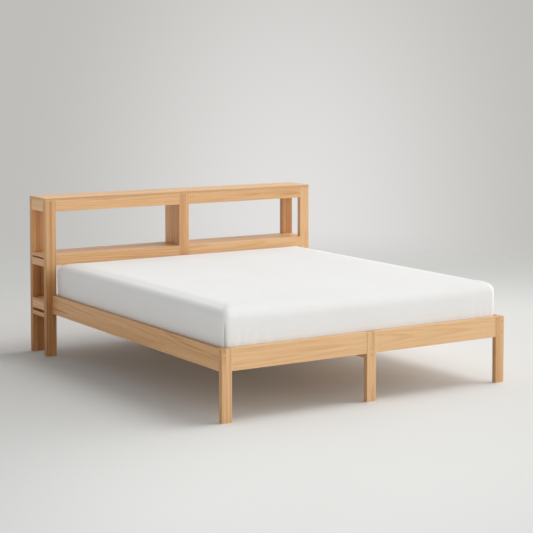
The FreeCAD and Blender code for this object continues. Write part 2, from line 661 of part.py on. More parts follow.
# ---------------------------------------------------------------- mattress and fitted sheet
def soft_block(label, wide, y0, y1, z0, z1, corner, edge, node):
    body = doc.addObject("PartDesign::Body", label)
    body.Label = label
    sk = new_sketch(body, label + "_outline", "z", dim(0))
    polygon(sk, [(dim(0), dim(0)), (wide, dim(0)), (wide, y1 - y0), (dim(0), y1 - y0)])
    pad = body.newObject("PartDesign::Pad", label + "_pad")
    pad.Profile = sk
    bind(pad, "Length", z1 - z0)
    body.Tip = pad
    corners = fillet_edges(body, pad, label + "_corners", corner, parallel_to("z"))
    doc.recompute()
    zs = (z1 - z0).value
    rim = fillet_edges(body, corners, label + "_rim", edge,
                       lambda e: e.BoundBox.ZLength < 1e-6 and (abs(e.BoundBox.ZMin) < 1e-6 or abs(e.BoundBox.ZMin - zs) < 1e-6))
    doc.recompute()
    place(body, -wide / 2, y0, z0)
    if node:
        NODES.append(body)
    return body


st = D["sheet_thick"]
sheet_a = foot + 2 + D["foot_thick"] + D["foot_gap"]
sheet_low = D["slat_level"] + D["tape_thick"]
core_a = sheet_a + st
core_b = core_a + D["mattress_length"]
core_low = sheet_low + st
soft_block("mattress", D["mattress_width"], core_a, core_b, core_low, D["mattress_top"], D["corner_round"], D["edge_round"], True)
outer = soft_block("sheet_outer", D["mattress_width"] + st * 2, sheet_a, core_b + st, sheet_low, D["mattress_top"] + st,
                   D["corner_round"] + st, D["edge_round"] + st, False)
inner = soft_block("sheet_inner", D["mattress_width"], core_a, core_b, core_low, D["mattress_top"], D["corner_round"], D["edge_round"], False)
mouth = block("sheet_mouth", -(D["mattress_width"] / 2 - D["sheet_flap"]), D["mattress_width"] / 2 - D["sheet_flap"],
              core_a + D["sheet_flap"], core_b - D["sheet_flap"], sheet_low - 5, core_low + 1)
hollow = doc.addObject("Part::Cut", "sheet_hollow")
hollow.Base, hollow.Tool = outer, inner
fitted = doc.addObject("Part::Cut", "fitted_sheet")
fitted.Base, fitted.Tool = hollow, mouth
fitted.Label = "fitted_sheet"
NODES.append(fitted)

# ---------------------------------------------------------------- bores for the screws
# pilot bores in the side rails and in the centre post are as wide as their screws
side_bodies = {n.Label: n for n in NODES}


def pilot(label, axis, start, way, depth, bores):
    body = side_bodies[label]
    low = body.Placement.Base
    names = {"x": "x", "y": "y", "z": "z"}
    lows = {k: getattr(low, names[k]) for k in names}
    origin = PILOT_ORIGIN[label]
    sk = new_sketch(body, label + "_pilot", axis, start - origin[axis])
    for u, v, dia in bores:
        if axis == "x":
            circle(sk, u - origin["y"], v - origin["z"], dia)
        else:
            circle(sk, u - origin["x"], v - origin["z"], dia)
    before = body.Shape.Volume
    cut = body.newObject("PartDesign::Pocket", label + "_pilot_cut")
    cut.Profile = sk
    bind(cut, "Length", depth)
    cut.Reversed = {"y": way < 0, "x": way > 0}[axis]
    body.Tip = cut
    doc.recompute()
    if before - body.Shape.Volume < 50:
        raise RuntimeError(label + ": pilot bores not cut")


PILOT_ORIGIN = {
    "side_rail_left": {"x": -frame_x, "y": leg_back, "z": rail_low},
    "side_rail_right": {"x": frame_x - D["side_thick"], "y": leg_back, "z": rail_low},
    "post_front_centre": {"x": -cpost, "y": head, "z": floor},
}
for name, sx in (("side_rail_left", -1), ("side_rail_right", 1)):
    pilot(name, "x", (frame_x - D["side_thick"]) * sx, sx, D["screw_long"] - D["ledger_size"],
          [(y, ledger_mid, D["screw_dia"]) for y in screw_ys])
pilot("post_front_centre", "y", head, 1, dim(20),
      [(hang_x * sx, hanger_low + z, D["small_screw"]) for sx in (-1, 1) for z in hang_levels])

# ---------------------------------------------------------------- check and write
doc.recompute()
bad = []
for obj in doc.Objects:
    if "Invalid" in obj.State or "Error" in obj.State:
        bad.append((obj.Name, obj.State))
for node in NODES:
    if node.Shape.isNull() or not node.Shape.isValid() or node.Shape.Volume <= 0:
        bad.append((node.Label, "shape"))
if bad:
    raise RuntimeError("failed objects: %s" % bad)
labels = [n.Label for n in NODES]
if len(set(labels)) != len(labels) or len(labels) > 60:
    raise RuntimeError("node names: %d" % len(labels))

os.makedirs("parts", exist_ok=True)
for node in NODES:
    node.Shape.exportStep(os.path.join("parts", node.Label + ".step"))
box = FreeCAD.BoundBox()
for node in NODES:
    box.add(node.Shape.BoundBox)
print(len(NODES), "nodes", "x %.1f..%.1f y %.1f..%.1f z %.1f..%.1f" % (box.XMin, box.XMax, box.YMin, box.YMax, box.ZMin, box.ZMax))
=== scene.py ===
import math

import bmesh
import bpy
import numpy as np
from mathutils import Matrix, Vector


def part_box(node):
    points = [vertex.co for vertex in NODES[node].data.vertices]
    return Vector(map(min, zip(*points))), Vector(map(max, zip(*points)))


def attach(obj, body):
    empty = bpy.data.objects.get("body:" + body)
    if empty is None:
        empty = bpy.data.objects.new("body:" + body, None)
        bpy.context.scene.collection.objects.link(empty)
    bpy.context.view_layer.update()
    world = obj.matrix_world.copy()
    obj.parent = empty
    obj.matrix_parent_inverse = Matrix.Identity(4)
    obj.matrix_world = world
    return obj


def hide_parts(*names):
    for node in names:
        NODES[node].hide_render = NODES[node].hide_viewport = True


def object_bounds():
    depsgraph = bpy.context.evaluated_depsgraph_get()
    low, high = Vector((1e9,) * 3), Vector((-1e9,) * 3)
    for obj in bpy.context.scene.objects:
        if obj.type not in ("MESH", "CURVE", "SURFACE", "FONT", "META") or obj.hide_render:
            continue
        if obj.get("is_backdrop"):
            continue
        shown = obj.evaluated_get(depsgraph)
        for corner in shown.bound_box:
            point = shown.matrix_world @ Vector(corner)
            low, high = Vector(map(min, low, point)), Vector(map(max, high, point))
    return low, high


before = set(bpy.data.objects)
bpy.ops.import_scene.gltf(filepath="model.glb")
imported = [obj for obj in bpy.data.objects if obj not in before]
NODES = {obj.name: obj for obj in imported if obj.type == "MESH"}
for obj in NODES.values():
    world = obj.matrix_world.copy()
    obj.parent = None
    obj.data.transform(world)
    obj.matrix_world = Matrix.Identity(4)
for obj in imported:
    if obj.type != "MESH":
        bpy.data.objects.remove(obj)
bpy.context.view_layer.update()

# ------------------------------------------------------------------ small node-tree helpers


class Tree:
    """Adds nodes to a tree and links them, so that a material reads as formulas."""

    def __init__(self, tree):
        self.t = tree
        self.n = tree.nodes
        self.x = 0

    def node(self, kind, **props):
        nd = self.n.new(kind)
        nd.location = (self.x, 0)
        self.x += 160
        for k, v in props.items():
            setattr(nd, k, v)
        return nd

    def put(self, socket, value):
        if isinstance(value, bpy.types.NodeSocket):
            self.t.links.new(value, socket)
        elif value is not None:
            socket.default_value = value

    def math(self, op, a, b=None, c=None, clamp=False):
        nd = self.node("ShaderNodeMath", operation=op, use_clamp=clamp)
        for i, v in enumerate((a, b, c)):
            if v is not None:
                self.put(nd.inputs[i], v)
        return nd.outputs[0]

    def vmath(self, op, a, b=None, scale=None):
        nd = self.node("ShaderNodeVectorMath", operation=op)
        self.put(nd.inputs[0], a)
        if b is not None:
            self.put(nd.inputs[1], b)
        if scale is not None:
            self.put(nd.inputs["Scale"], scale)
        return nd.outputs["Value"] if op in ("LENGTH", "DOT_PRODUCT", "DISTANCE") else nd.outputs["Vector"]

    def sep(self, v):
        nd = self.node("ShaderNodeSeparateXYZ")
        self.put(nd.inputs[0], v)
        return nd.outputs[0], nd.outputs[1], nd.outputs[2]

    def comb(self, x, y, z):
        nd = self.node("ShaderNodeCombineXYZ")
        for i, v in enumerate((x, y, z)):
            self.put(nd.inputs[i], v)
        return nd.outputs[0]

    def noise(self, v, scale=1.0, detail=2.0, rough=0.5, dist=0.0, color=False):
        nd = self.node("ShaderNodeTexNoise")
        self.put(nd.inputs["Vector"], v)
        nd.inputs["Scale"].default_value = scale
        nd.inputs["Detail"].default_value = detail
        nd.inputs["Roughness"].default_value = rough
        nd.inputs["Distortion"].default_value = dist
        return nd.outputs["Color" if color else "Fac"]

    def span(self, v, a, b, c=0.0, d=1.0, smooth=True):
        nd = self.node("ShaderNodeMapRange", interpolation_type="SMOOTHSTEP" if smooth else "LINEAR", clamp=True)
        self.put(nd.inputs["Value"], v)
        for name, q in (("From Min", a), ("From Max", b), ("To Min", c), ("To Max", d)):
            self.put(nd.inputs[name], q)
        return nd.outputs["Result"]

    def ramp(self, v, stops, ease="LINEAR"):
        nd = self.node("ShaderNodeValToRGB")
        nd.color_ramp.interpolation = ease
        while len(nd.color_ramp.elements) < len(stops):
            nd.color_ramp.elements.new(0.5)
        for e, (pos, col) in zip(nd.color_ramp.elements, stops):
            e.position = pos
            e.color = (*col, 1) if len(col) == 3 else col
        self.put(nd.inputs[0], v)
        return nd.outputs["Color"]

    def mix(self, fac, a, b, mode="MIX"):
        nd = self.node("ShaderNodeMix", data_type="RGBA", blend_type=mode)
        self.put(nd.inputs[0], fac)
        for i, v in ((6, a), (7, b)):
            if isinstance(v, tuple) and len(v) == 3:
                v = (*v, 1)
            self.put(nd.inputs[i], v)
        return nd.outputs[2]


def lin(hexcode):
    """Linear colour of an sRGB hex code."""
    out = []
    for i in (0, 2, 4):
        c = int(hexcode[i:i + 2], 16) / 255
        out.append(c / 12.92 if c <= 0.04045 else ((c + 0.055) / 1.055) ** 2.4)
    return tuple(out)


# ------------------------------------------------------------------ wood
# A solid growth-ring figure: the grain runs along the group's Z, staves are glued side by side
# along its X, and every board has its own pith line, slope, seed and tone.

def make_wood_group():
    g = bpy.data.node_groups.new("growth_rings", "ShaderNodeTree")
    iface = g.interface
    for name, kind, default in (
        ("Vector", "NodeSocketVector", (0, 0, 0)),
        ("Pith", "NodeSocketVector", (0.1, 0.05, 0)),
        ("Slope", "NodeSocketVector", (0.03, 0.0, 0)),
        ("Seed", "NodeSocketFloat", 0.0),
        ("Tone", "NodeSocketFloat", 0.0),
        ("Stave", "NodeSocketFloat", 10.0),
        ("Stave Start", "NodeSocketFloat", -5.0),
    ):
        s = iface.new_socket(name, in_out="INPUT", socket_type=kind)
        s.default_value = default
    for name, kind in (("Color", "NodeSocketColor"), ("Roughness", "NodeSocketFloat"), ("Height", "NodeSocketFloat")):
        iface.new_socket(name, in_out="OUTPUT", socket_type=kind)
    t = Tree(g)
    gi = t.node("NodeGroupInput")
    go = t.node("NodeGroupOutput")
    V, pith, slope, seed, tone, stave, start = [gi.outputs[i] for i in range(7)]
    x, y, z = t.sep(V)
    at = t.math("DIVIDE", t.math("SUBTRACT", x, start), stave)
    idx = t.math("FLOOR", at)
    fr = t.math("SUBTRACT", at, idx)
    wn = t.node("ShaderNodeTexWhiteNoise", noise_dimensions="2D")
    t.put(wn.inputs["Vector"], t.comb(idx, seed, 0.0))
    rnd = wn.outputs["Value"]
    rcol = wn.outputs["Color"]
    r1, r2, r3 = t.sep(rcol)
    key = t.math("ADD", t.math("MULTIPLY", seed, 3.71), t.math("MULTIPLY", rnd, 17.3))
    shift = t.vmath("SCALE", (1.0, 0.63, 2.9), scale=key)
    P = t.vmath("ADD", V, shift)
    # slow wander of the fibres
    w1 = t.noise(t.vmath("MULTIPLY", P, (4.0, 4.0, 0.8)), detail=2.0, color=True)
    w2 = t.noise(t.vmath("MULTIPLY", P, (19.0, 19.0, 2.6)), detail=2.0, color=True)
    w1 = t.vmath("SCALE", t.vmath("SUBTRACT", w1, (0.5, 0.5, 0.5)), scale=0.022)
    w2 = t.vmath("SCALE", t.vmath("SUBTRACT", w2, (0.5, 0.5, 0.5)), scale=0.0042)
    W = t.vmath("ADD", t.vmath("ADD", V, w1), w2)
    W = t.vmath("SUBTRACT", W, pith)
    W = t.vmath("SUBTRACT", W, t.vmath("SCALE", slope, scale=z))
    jog = t.comb(t.math("MULTIPLY", t.math("SUBTRACT", r1, 0.5), 0.11), t.math("MULTIPLY", t.math("SUBTRACT", r2, 0.5), 0.05), 0.0)
    W = t.vmath("ADD", W, jog)
    wx, wy, wz = t.sep(W)
    r = t.vmath("LENGTH", t.comb(wx, wy, 0.0))
    uneven = t.noise(t.comb(r, t.math("MULTIPLY", z, 0.02), key), scale=26.0, detail=1.0)
    phase = t.math("ADD", t.math("MULTIPLY", r, 118.0), t.math("MULTIPLY", uneven, 2.2))
    f = t.math("FRACT", phase)
    late = t.math("MULTIPLY", t.span(f, 0.30, 0.90), t.span(f, 0.93, 1.0, 1.0, 0.0))
    strength = t.span(t.noise(t.vmath("MULTIPLY", P, (6.0, 6.0, 0.7)), detail=2.0), 0.30, 0.68, 0.35, 1.0)
    late = t.math("MULTIPLY", late, strength)
    # fibres, streaks and pores, all drawn out along the grain
    fibre = t.noise(t.vmath("MULTIPLY", P, (620.0, 620.0, 11.0)), detail=3.0, rough=0.6)
    streak = t.noise(t.vmath("MULTIPLY", P, (120.0, 120.0, 2.1)), detail=4.0, rough=0.55)
    band = t.noise(t.vmath("MULTIPLY", P, (26.0, 26.0, 0.75)), detail=3.0)
    broad = t.noise(t.vmath("MULTIPLY", P, (3.0, 3.0, 0.55)), detail=2.0)
    pore = t.span(t.noise(t.vmath("MULTIPLY", P, (900.0, 900.0, 26.0)), detail=2.0), 0.62, 0.72)
    pore = t.math("MULTIPLY", pore, t.math("ADD", 0.35, t.math("MULTIPLY", late, 0.65)))
    mineral = t.span(t.noise(t.vmath("MULTIPLY", P, (17.0, 17.0, 1.3)), detail=2.0), 0.66, 0.80)
    v = t.math("MULTIPLY", late, 0.17)
    v = t.math("ADD", v, t.math("MULTIPLY", t.math("SUBTRACT", streak, 0.5), 0.50))
    v = t.math("ADD", v, t.math("MULTIPLY", t.math("SUBTRACT", band, 0.5), 0.30))
    v = t.math("ADD", v, t.math("MULTIPLY", t.math("SUBTRACT", fibre, 0.5), 0.30))
    v = t.math("ADD", v, t.math("MULTIPLY", t.math("SUBTRACT", broad, 0.5), 0.24))
    v = t.math("ADD", v, t.math("MULTIPLY", t.math("SUBTRACT", r3, 0.5), 0.12))
    v = t.math("ADD", t.math("ADD", v, 0.38), tone)
    v = t.math("ADD", v, t.math("MULTIPLY", mineral, 0.30))
    col = t.ramp(v, [
        (0.00, lin("EFC89A")), (0.28, lin("E7BD8C")), (0.52, lin("D9A976")),
        (0.76, lin("BE8850")), (1.00, lin("935D30")),
    ])
    col = t.mix(t.math("MULTIPLY", pore, 0.34), col, lin("97653A"))
    glue = t.math("SUBTRACT", 0.5, t.math("ABSOLUTE", t.math("SUBTRACT", fr, 0.5)))
    glue = t.math("MULTIPLY", glue, stave)
    glue = t.span(glue, 0.0002, 0.0010, 1.0, 0.0)
    col = t.mix(t.math("MULTIPLY", glue, 0.30), col, lin("97653A"))
    rough = t.math("ADD", 0.44, t.math("ADD", t.math("MULTIPLY", fibre, 0.12), t.math("MULTIPLY", pore, 0.18)))
    height = t.math("ADD", t.math("MULTIPLY", fibre, 0.35), t.math("MULTIPLY", late, 0.25))
    height = t.math("SUBTRACT", height, t.math("MULTIPLY", pore, 0.9))
    height = t.math("SUBTRACT", height, t.math("MULTIPLY", glue, 0.5))
    t.put(go.inputs["Color"], col)
    t.put(go.inputs["Roughness"], rough)
    t.put(go.inputs["Height"], height)
    return g


WOOD = make_wood_group()
AX = {"x": (1, 0, 0), "y": (0, 1, 0), "z": (0, 0, 1)}


def wood(name, grain, across, seed, tone=0.0, pith=(0.06, 0.11), slope=(0.03, 0.01), stave=None, start=0.0,
         box=None, rank=None, bump=0.25, painted_shade=None):
    """Board material. grain and across are bed axes: the fibres run along grain, staves lie side by side along across.
    box gives the board's own corners, for its pith and a painted highlight along its edges; end grain is darker in any
    case. rank = (axis, start, pitch) numbers repeated boards.
    painted_shade = (axis, from, to, extra) is painted shade: it deepens the tone between two levels, where the part
    lies in the bed's shadow."""
    m = bpy.data.materials.new(name)
    m.use_nodes = True
    m.node_tree.nodes.clear()
    t = Tree(m.node_tree)
    tc = t.node("ShaderNodeTexCoord")
    pos = tc.outputs["Object"]
    px, py, pz = t.sep(pos)
    by = {"x": px, "y": py, "z": pz}
    third = [a for a in "xyz" if a not in (grain, across)][0]
    vec = t.comb(by[across], by[third], by[grain])
    g = t.node("ShaderNodeGroup", node_tree=WOOD)
    t.put(g.inputs["Vector"], vec)
    lo, hi = box if box else (Vector((-1, -1, -1)), Vector((1, 1, 1)))
    mid = {a: (lo[i] + hi[i]) / 2 for i, a in enumerate("xyz")}
    g.inputs["Pith"].default_value = (mid[across] + pith[0] - slope[0] * mid[grain], mid[third] + pith[1] - slope[1] * mid[grain], 0)
    g.inputs["Slope"].default_value = (slope[0], slope[1], 0)
    g.inputs["Stave"].default_value = stave or 10.0
    g.inputs["Stave Start"].default_value = start if stave else -5.0
    g.inputs["Tone"].default_value = tone
    if rank:
        k = t.math("FLOOR", t.math("DIVIDE", t.math("SUBTRACT", by[rank[0]], rank[1]), rank[2]))
        t.put(g.inputs["Seed"], t.math("ADD", t.math("MULTIPLY", k, 1.37), seed))
        wn = t.node("ShaderNodeTexWhiteNoise", noise_dimensions="1D")
        t.put(wn.inputs["W"], k)
        t.put(g.inputs["Tone"], t.math("ADD", t.math("MULTIPLY", wn.outputs["Value"], 0.16), tone - 0.08))
    else:
        g.inputs["Seed"].default_value = seed
    # painted shade: below a given level the tone deepens, standing in for the bed's shadow on the part
    if painted_shade:
        t.put(g.inputs["Tone"], t.span(by[painted_shade[0]], painted_shade[1], painted_shade[2], tone + painted_shade[3], tone))
    col, rough, height = g.outputs["Color"], g.outputs["Roughness"], g.outputs["Height"]
    # end grain is darker
    facing = t.math("ABSOLUTE", t.vmath("DOT_PRODUCT", tc.outputs["Normal"], AX[grain]))
    end = t.span(facing, 0.75, 0.97)
    col = t.mix(t.math("MULTIPLY", end, 0.42), col, lin("AD7B4A"), "MIX")
    if box and not rank:
        half = (hi - lo) / 2
        d = t.vmath("SUBTRACT", pos, tuple((lo + hi) / 2))
        d = t.vmath("ABSOLUTE", d)
        d = t.vmath("SUBTRACT", tuple(half), d)
        dx, dy, dz = t.sep(d)
        second = t.math("MAXIMUM", t.math("MINIMUM", dx, dy), t.math("MINIMUM", t.math("MAXIMUM", dx, dy), dz))
        # painted highlight: pale strips along the board edges, broken into patches, with the roughness a little lower
        # there
        highlight_patches = t.noise(pos, scale=34.0, detail=3.0)
        edge_highlight = t.math("MULTIPLY", t.span(second, 0.0003, 0.0032, 1.0, 0.0), t.span(highlight_patches, 0.35, 0.62, 0.25, 1.0))
        col = t.mix(t.math("MULTIPLY", edge_highlight, 0.34), col, lin("F2D6B2"))
        rough = t.math("SUBTRACT", rough, t.math("MULTIPLY", edge_highlight, 0.08))
    b = t.node("ShaderNodeBump")
    b.inputs["Strength"].default_value = bump
    b.inputs["Distance"].default_value = 0.0006
    t.put(b.inputs["Height"], height)
    s = t.node("ShaderNodeBsdfPrincipled")
    s.inputs["Specular IOR Level"].default_value = 0.42
    t.put(s.inputs["Base Color"], col)
    t.put(s.inputs["Roughness"], rough)
    t.put(s.inputs["Normal"], b.outputs["Normal"])
    o = t.node("ShaderNodeOutputMaterial")
    t.put(o.inputs["Surface"], s.outputs[0])
    return m


def give(node, mat):
    o = NODES[node]
    if not o.material_slots:
        o.data.materials.append(mat)
    for s in o.material_slots:
        s.material = mat


# node: (grain, across, pith offset, slope, tone, stave width). Tone is mostly each board's own depth of colour; the
# darker tones of the side rails, the left end rails and the back posts are partly painted shade, for boards that face
# away from the light and for the back posts in the bays' shadow.
PLAN = {
    "post_front_left": ("z", "x", (0.03, 0.10), (0.012, 0.004), 0.12, 0.031),
    "post_front_centre": ("z", "x", (-0.05, 0.12), (0.010, 0.004), 0.16, 0.024),
    "post_front_right": ("z", "x", (0.05, 0.11), (0.008, -0.004), 0.04, 0.031),
    "post_back_left": ("z", "x", (0.00, -0.08), (0.012, 0.006), 0.26, 0.031),
    "post_back_right": ("z", "x", (-0.012, -0.05), (0.015, 0.02), 0.34, 0.031),
    "centre_divider": ("z", "y", (0.02, 0.12), (0.02, 0.01), 0.20, 0.071),
    "top_board": ("x", "y", (0.05, 0.09), (0.016, 0.006), 0.06, 0.0817),
    "top_rail_front_left": ("x", "z", (0.01, 0.055), (0.012, 0.014), 0.02, None),
    "top_rail_front_right": ("x", "z", (-0.02, 0.07), (-0.008, 0.014), 0.05, None),
    "top_rail_back_left": ("x", "z", (0.03, -0.09), (0.02, 0.01), 0.03, None),
    "top_rail_back_right": ("x", "z", (0.04, -0.09), (0.02, 0.01), 0.00, None),
    "top_end_rail_left": ("y", "z", (0.05, 0.08), (0.06, 0.02), 0.10, None),
    "top_end_rail_right": ("y", "z", (0.03, 0.08), (0.05, 0.02), 0.00, None),
    "shelf_left": ("x", "y", (0.02, 0.10), (0.02, 0.01), 0.02, 0.078),
    "shelf_right": ("x", "y", (0.05, 0.10), (-0.02, 0.01), 0.00, 0.078),
    "shelf_rail_front_left": ("x", "z", (-0.035, 0.08), (0.018, 0.02), 0.00, None),
    "shelf_rail_front_right": ("x", "z", (0.045, 0.08), (-0.020, 0.02), -0.11, None),
    "shelf_rail_back_left": ("x", "z", (0.03, -0.08), (0.02, 0.02), 0.02, None),
    "shelf_rail_back_right": ("x", "z", (0.02, -0.08), (0.02, 0.02), 0.01, None),
    "shelf_end_rail_left": ("y", "z", (0.03, 0.09), (0.04, 0.01), 0.10, None),
    "shelf_end_rail_right": ("y", "z", (0.03, 0.09), (0.04, 0.01), 0.00, None),
    "lower_shelf_left": ("x", "y", (0.06, 0.12), (0.02, 0.01), 0.22, 0.078),
    "lower_shelf_right": ("x", "y", (0.03, 0.12), (0.02, 0.01), 0.04, 0.078),
    "lower_rail_front_left": ("x", "z", (0.04, 0.08), (0.02, 0.01), 0.02, None),
    "lower_rail_front_right": ("x", "z", (0.03, 0.08), (0.02, 0.01), 0.00, None),
    "lower_rail_back_left": ("x", "z", (0.04, -0.08), (0.02, 0.01), 0.02, None),
    "lower_rail_back_right": ("x", "z", (0.03, -0.08), (0.02, 0.01), 0.03, None),
    "lower_end_rail_left": ("y", "z", (0.03, 0.09), (0.05, 0.01), 0.14, None),
    "lower_end_rail_right": ("y", "z", (0.03, 0.09), (0.05, 0.01), 0.00, None),
    "bottom_end_rail_left": ("y", "z", (0.02, 0.09), (0.05, 0.01), 0.14, None),
    "bottom_end_rail_right": ("y", "z", (0.02, 0.09), (0.05, 0.01), 0.01, None),
    "side_rail_left": ("y", "z", (0.05, 0.10), (0.018, 0.012), 0.15, 0.058),
    "side_rail_right": ("y", "z", (-0.04, 0.10), (0.020, 0.012), 0.10, 0.058),
    "foot_rail_left": ("x", "z", (0.020, 0.060), (0.010, 0.012), -0.10, None),
    "foot_rail_right": ("x", "z", (-0.030, 0.065), (-0.008, 0.014), -0.06, None),
    "foot_leg_left": ("z", "x", (0.02, 0.10), (0.018, 0.010), 0.00, 0.030),
    "foot_leg_centre": ("z", "x", (-0.03, 0.10), (0.015, 0.010), -0.01, 0.030),
    "foot_leg_right": ("z", "x", (0.03, 0.09), (0.016, 0.012), 0.07, 0.030),
    "slat_ledger_left": ("y", "z", (0.03, 0.09), (0.02, 0.01), -0.04, None),
    "slat_ledger_right": ("y", "z", (0.02, 0.09), (0.02, 0.01), -0.02, None),
    "centre_beam": ("y", "z", (0.04, 0.07), (0.02, 0.01), -0.04, None),
    "shelf_cleats_left": ("x", "z", (0.04, 0.07), (0.02, 0.01), 0.02, None),
    "shelf_cleats_right": ("x", "z", (0.02, 0.07), (0.02, 0.01), 0.00, None),
    "headboard_dowels": ("x", "z", (0.02, 0.05), (0.01, 0.01), -0.05, None),
    "foot_rail_dowels": ("x", "z", (0.02, 0.05), (0.01, 0.01), -0.05, None),
}
# painted shade: the posts' lower parts get a deeper tone where the bed's shadow falls on them
PAINTED_SHADE_BELOW = {
    "post_front_left": ("z", 0.42, 0.58, 0.24), "post_front_right": ("z", 0.42, 0.58, 0.24),
    "post_back_left": ("z", 0.46, 0.66, 0.20), "post_back_right": ("z", 0.46, 0.66, 0.20),
}
for n, (node, (grain, across, pith, slope, tone, stave)) in enumerate(sorted(PLAN.items())):
    lo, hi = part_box(node)
    start = lo["xyz".index(across)]
    single = node not in ("shelf_cleats_left", "shelf_cleats_right", "headboard_dowels", "foot_rail_dowels")
    give(node, wood("wood_" + node, grain, across, 1.7 + 2.31 * n, tone, pith, slope, stave, start, (lo, hi) if single else None,
                    painted_shade=PAINTED_SHADE_BELOW.get(node)))

slat_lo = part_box("slats_left")[0]
slat_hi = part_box("slats_left")[1]
SLAT_PITCH = (slat_hi.y - slat_lo.y - 0.075) / 13
for side, sd in (("left", 3.1), ("right", 8.4)):
    give("slats_" + side, wood("wood_slats_" + side, "x", "y", sd, -0.10, (0.05, 0.06), (0.02, 0.01),
                               box=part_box("slats_" + side), rank=("y", slat_lo.y - 0.03, SLAT_PITCH)))
give("bolt_plugs", wood("wood_plugs", "z", "x", 6.6, 0.08, (0.004, 0.02), (0.02, 0.01), box=None))


# ------------------------------------------------------------------ steel, webbing, cloth
def steel(name, seed):
    m = bpy.data.materials.new(name)
    m.use_nodes = True
    m.node_tree.nodes.clear()
    t = Tree(m.node_tree)
    pos = t.node("ShaderNodeTexCoord").outputs["Object"]
    p = t.vmath("ADD", pos, (seed, 0, 0))
    spangle = t.noise(p, scale=160.0, detail=2.0)
    brush = t.noise(t.vmath("MULTIPLY", p, (1600.0, 60.0, 1600.0)), detail=2.0)
    col = t.ramp(spangle, [(0.3, lin("A8ABAD")), (0.7, lin("C9CCCE"))])
    s = t.node("ShaderNodeBsdfPrincipled")
    s.inputs["Metallic"].default_value = 1.0
    t.put(s.inputs["Base Color"], col)
    t.put(s.inputs["Roughness"], t.math("ADD", 0.28, t.math("MULTIPLY", brush, 0.22)))
    b = t.node("ShaderNodeBump")
    b.inputs["Strength"].default_value = 0.15
    b.inputs["Distance"].default_value = 0.0002
    t.put(b.inputs["Height"], brush)
    t.put(s.inputs["Normal"], b.outputs["Normal"])
    o = t.node("ShaderNodeOutputMaterial")
    t.put(o.inputs["Surface"], s.outputs[0])
    return m


for n, node in enumerate(("frame_bolts", "barrel_nuts", "beam_hanger", "ledger_screws", "hanger_screws")):
    give(node, steel("zinc_" + node, n * 1.3))


def weave(name, base, dark, pitch, sheen, rough, bump, axes=("x", "y"), seam_shade=None, fleck=0.5, slub=0.35):
    """Woven cloth: two crossing sets of threads, slubs and a soft fuzz. axes is not used."""
    m = bpy.data.materials.new(name)
    m.use_nodes = True
    m.node_tree.nodes.clear()
    t = Tree(m.node_tree)
    tc = t.node("ShaderNodeTexCoord")
    pos = tc.outputs["Object"]
    x, y, z = t.sep(pos)
    nx, ny, nz = t.sep(tc.outputs["Normal"])
    # the threads run across and down on each face, so the two coordinates follow the face that is looked at
    side_x = t.span(t.math("ABSOLUTE", nx), 0.6, 0.8)
    side_y = t.span(t.math("ABSOLUTE", ny), 0.6, 0.8)
    u = t.math("ADD", t.math("MULTIPLY", x, t.math("SUBTRACT", 1.0, side_x)), t.math("MULTIPLY", z, side_x))
    v = t.math("ADD", t.math("MULTIPLY", y, t.math("SUBTRACT", 1.0, side_y)), t.math("MULTIPLY", z, side_y))
    k = 2 * math.pi / pitch
    wob = t.noise(pos, scale=60.0, detail=2.0)
    wu = t.math("SINE", t.math("ADD", t.math("MULTIPLY", u, k), t.math("MULTIPLY", wob, 1.6)))
    wv = t.math("SINE", t.math("ADD", t.math("MULTIPLY", v, k), t.math("MULTIPLY", wob, 1.6)))
    thread = t.math("MULTIPLY", t.math("ADD", t.math("MULTIPLY", wu, wv), 1.0), 0.5)
    s1 = t.noise(t.comb(t.math("MULTIPLY", u, 900.0), t.math("MULTIPLY", v, 25.0), 0.0), detail=2.0)
    s2 = t.noise(t.comb(t.math("MULTIPLY", u, 25.0), t.math("MULTIPLY", v, 900.0), 4.0), detail=2.0)
    slubs = t.math("MULTIPLY", t.math("ADD", s1, s2), 0.5)
    broad = t.noise(pos, scale=2.6, detail=3.0)
    fac = t.math("ADD", t.math("MULTIPLY", thread, 0.30), t.math("MULTIPLY", t.span(slubs, 0.35, 0.65), slub))
    fac = t.math("ADD", fac, t.math("MULTIPLY", broad, fleck))
    col = t.mix(t.math("MULTIPLY", fac, 0.8, clamp=True), dark, base)
    h = t.math("ADD", t.math("MULTIPLY", thread, 0.6), t.math("MULTIPLY", slubs, 0.7))
    if seam_shade:
        # painted shade: a dark line and a soft darkening beside the sewn corner, for the seam's groove
        col = t.mix(seam_groove_shade(t, pos, seam_shade), col, tuple(c * 0.42 for c in dark))
    b = t.node("ShaderNodeBump")
    b.inputs["Strength"].default_value = bump
    b.inputs["Distance"].default_value = 0.0005
    t.put(b.inputs["Height"], h)
    s = t.node("ShaderNodeBsdfPrincipled")
    s.inputs["Specular IOR Level"].default_value = 0.25
    s.inputs["Sheen Weight"].default_value = sheen
    s.inputs["Sheen Roughness"].default_value = 0.5
    t.put(s.inputs["Base Color"], col)
    t.put(s.inputs["Roughness"], t.math("ADD", rough, t.math("MULTIPLY", slubs, 0.1)))
    t.put(s.inputs["Normal"], b.outputs["Normal"])
    o = t.node("ShaderNodeOutputMaterial")
    t.put(o.inputs["Surface"], s.outputs[0])
    return m


